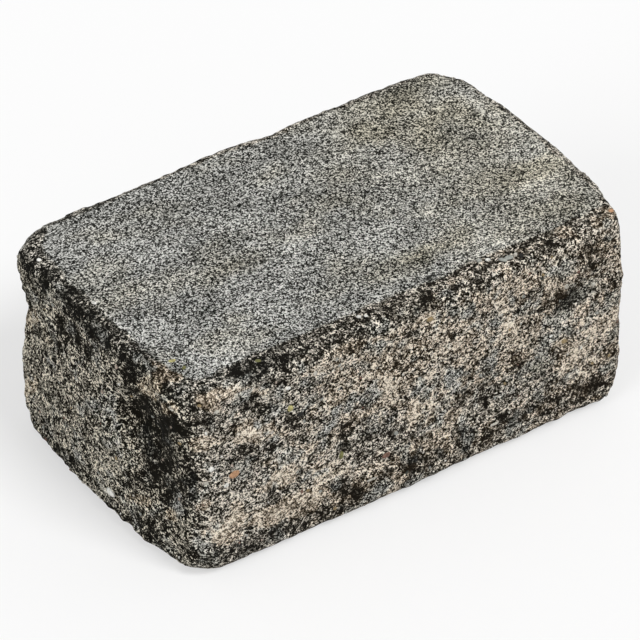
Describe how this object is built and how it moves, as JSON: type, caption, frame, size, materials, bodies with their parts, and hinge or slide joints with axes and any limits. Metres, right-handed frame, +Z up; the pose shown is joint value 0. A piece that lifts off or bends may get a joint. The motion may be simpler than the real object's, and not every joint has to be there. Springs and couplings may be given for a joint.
{
  "type": "concrete wall block",
  "caption": "Tumbled solid concrete wall block with flat moulded beds and rough split sides with worn, rounded edges, for dry-laid garden and retaining walls.",
  "frame": {"origin": "middle of the lower bed, the face the block rests on", "axes": "+X along the block's length, from the hollowed left end to the right end; +Y from the long front face to the back; +Z up, out of the upper bed"},
  "size_m": [0.3525, 0.21, 0.152],
  "materials": {
    "concrete": "rough mottled concrete, grey upper bed, split sides in grey, charcoal and tan"
  },
  "bodies": {
    "root": {"wall_block": "concrete"}
  },
  "joints": []
}
